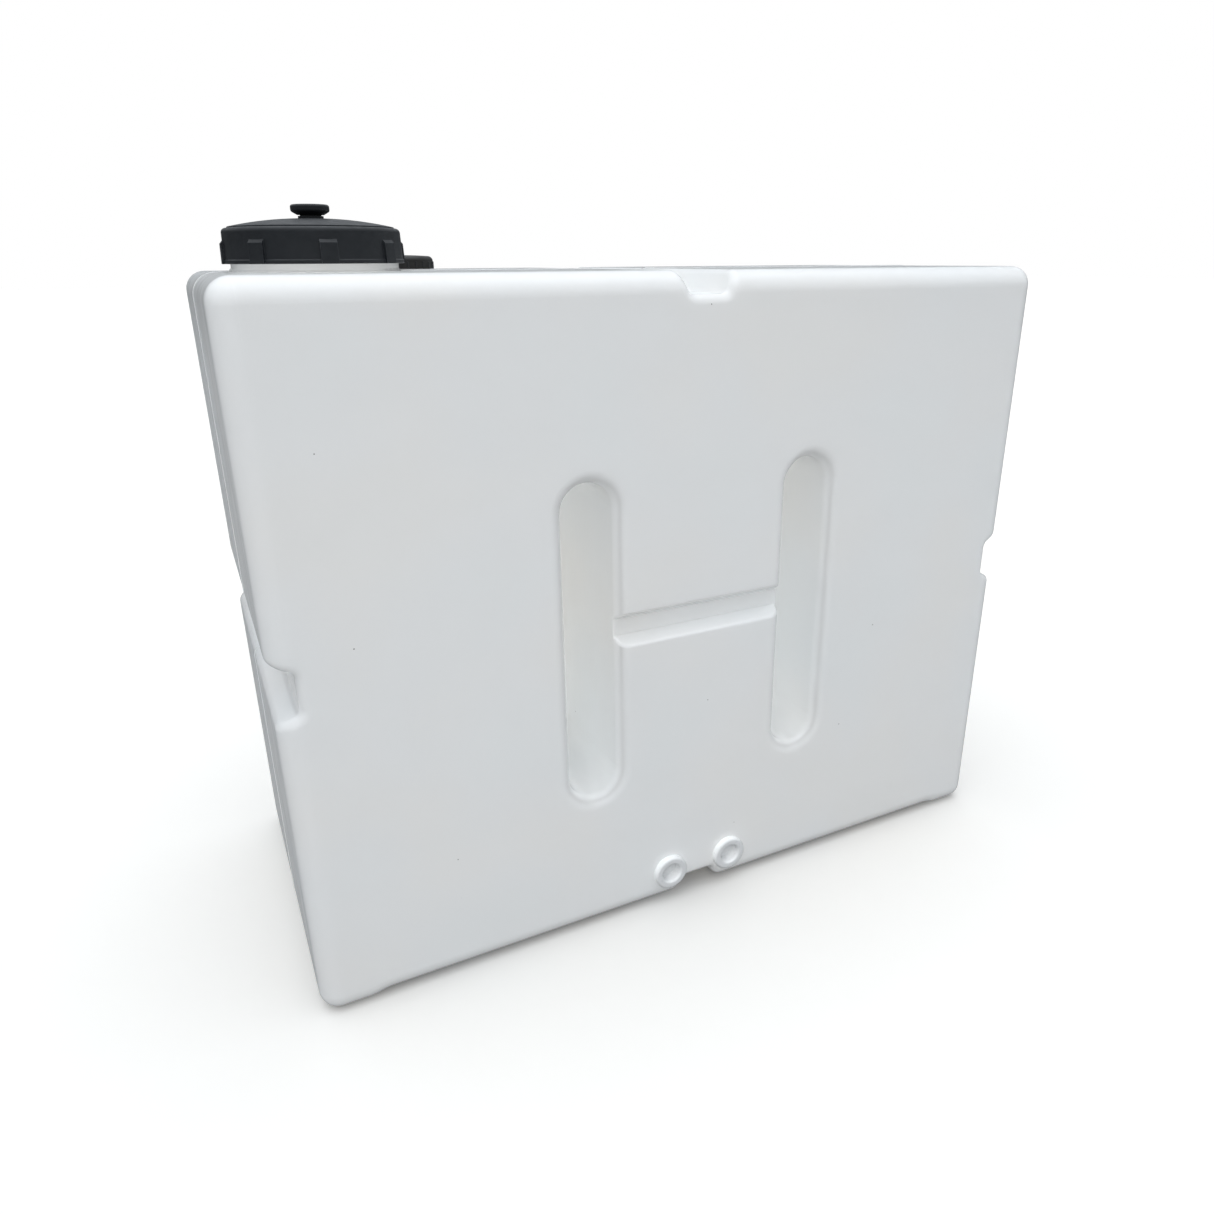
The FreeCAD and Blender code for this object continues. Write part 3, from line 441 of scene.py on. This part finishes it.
# Even lights on the tank and on the outlets: power, then degrees round from the front and up.
FILLS = {
    "left_fill": (0.84, -40.0, -5.0),
    "right_fill": (0.30, 50.0, 0.0),
    "top_fill": (0.24, -10.0, 75.0),
}
OUTLET_KEY = (1.3, -50.0, 40.0)
EVEN_LIGHT_ANGLE = 40
# Lamp: place in metres from the middle of the tank's foot, and power in watts.
LAMP_PLACE, LAMP_POWER = (-0.9, -2.6, 1.7), 40.0
# Floor: dim for the light that it throws back, and nearly white as the camera sees it.
FLOOR_DIM = (0.2, 0.2, 0.2, 1.0)
FLOOR_SEEN = (1.13, 1.09, 1.04, 1.0)
FLOOR_REACH = 40.0


def studio_world():
    """Room that is brightest overhead; what the camera sees behind the tank is plain white."""
    world = bpy.data.worlds.new("soft_studio")
    world.use_nodes = True
    tree = world.node_tree
    tree.nodes.clear()
    place = add_node(tree, "ShaderNodeTexCoord").outputs["Generated"]
    height = add_node(tree, "ShaderNodeSeparateXYZ", {"Vector": place}).outputs["Z"]
    glow = add_node(tree, "ShaderNodeValToRGB", {"Fac": ramp(tree, height, -1.0, 1.0)})
    stops = glow.color_ramp.elements
    for level, _ in WORLD_LIGHT[1:-1]:
        stops.new(level)
    for stop, (level, light) in zip(stops, WORLD_LIGHT):
        stop.position = level
        stop.color = (*(tint * light for tint in ROOM_TINT), 1.0)
    room = add_node(tree, "ShaderNodeBackground", {"Color": glow.outputs["Color"]})
    white = add_node(tree, "ShaderNodeBackground", values={"Color": (1, 1, 1, 1)})
    seen = add_node(tree, "ShaderNodeLightPath").outputs["Is Camera Ray"]
    both = add_node(
        tree, "ShaderNodeMixShader", {0: seen, 1: room.outputs[0], 2: white.outputs[0]}
    )
    add_node(tree, "ShaderNodeOutputWorld", {"Surface": both.outputs[0]})
    bpy.context.scene.world = world


def studio_floor():
    """Pale matt floor, wide enough to reach the horizon; it throws little light back up."""
    mesh = bpy.data.meshes.new("floor")
    signs = ((-1, -1), (1, -1), (1, 1), (-1, 1))
    mesh.from_pydata([(x * FLOOR_REACH, y * FLOOR_REACH, 0) for x, y in signs], [], [(0, 1, 2, 3)])
    floor = bpy.data.objects.new("floor", mesh)
    bpy.context.scene.collection.objects.link(floor)
    material = bpy.data.materials.new("pale_floor")
    material.use_nodes = True
    tree = material.node_tree
    tree.nodes.clear()
    dim = add_node(tree, "ShaderNodeBsdfDiffuse", values={"Color": FLOOR_DIM})
    pale = add_node(tree, "ShaderNodeBsdfDiffuse", values={"Color": FLOOR_SEEN})
    seen = add_node(tree, "ShaderNodeLightPath").outputs["Is Camera Ray"]
    both = add_node(
        tree, "ShaderNodeMixShader", {0: seen, 1: dim.outputs[0], 2: pale.outputs[0]}
    )
    add_node(tree, "ShaderNodeOutputMaterial", {"Surface": both.outputs[0]})
    mesh.materials.append(material)
    floor.visible_glossy = False


def light_on(pieces, name, kind, power, shadows=False):
    """Light that falls on some pieces only and shows in no reflection.

    Without shadows it reaches into the grooves and pockets.
    """
    data = bpy.data.lights.new(name, kind)
    data.energy = power
    data.use_shadow = shadows
    light = bpy.data.objects.new(name, data)
    light.visible_glossy = False
    light.light_linking.receiver_collection = pieces
    bpy.context.scene.collection.objects.link(light)
    return light


def even_light(pieces, name, setting, shadows=False):
    """Broad even light of a power, from degrees round from the front and up."""
    power, turn, rise = setting
    light = light_on(pieces, name, "SUN", power, shadows)
    light.data.angle = math.radians(EVEN_LIGHT_ANGLE)
    turn, rise = math.radians(turn), math.radians(rise)
    level = math.cos(rise)
    source = Vector((math.sin(turn) * level, -math.cos(turn) * level, math.sin(rise)))
    light.rotation_mode = "QUATERNION"
    light.rotation_quaternion = (-source).to_track_quat("-Z", "Y")


def fills(pieces):
    """Even light from several sides, and a lamp that favours the upper front."""
    for name, setting in FILLS.items():
        even_light(pieces, name, setting)
    lamp = light_on(pieces, "front_lamp", "POINT", LAMP_POWER)
    lamp.location = LAMP_PLACE


def in_slot(slot):
    """Collection, outside the scene, of the CAD pieces of one slot, for a light to fall on."""
    pieces = bpy.data.collections.new(f"lit_{slot}")
    for part in frame["record"]["subparts"]:
        if part["material_slot"] == slot:
            pieces.objects.link(NODES[part["node"]])
    return pieces


def studio(line):
    """Floor, room and lights.

    The tank and its parting line get the fills, and the outlets a key light with shadows. The
    black pieces get neither, so they keep their contrast.
    """
    studio_floor()
    studio_world()
    tank = in_slot("natural_polyethylene")
    tank.objects.link(line)
    fills(tank)
    even_light(in_slot("white_polyethylene"), "outlet_key", OUTLET_KEY, shadows=True)
    bpy.context.scene.view_settings.view_transform = "Standard"


place_camera()
finishes = finish_nodes()
studio(parting_line(finishes["natural_polyethylene"]))
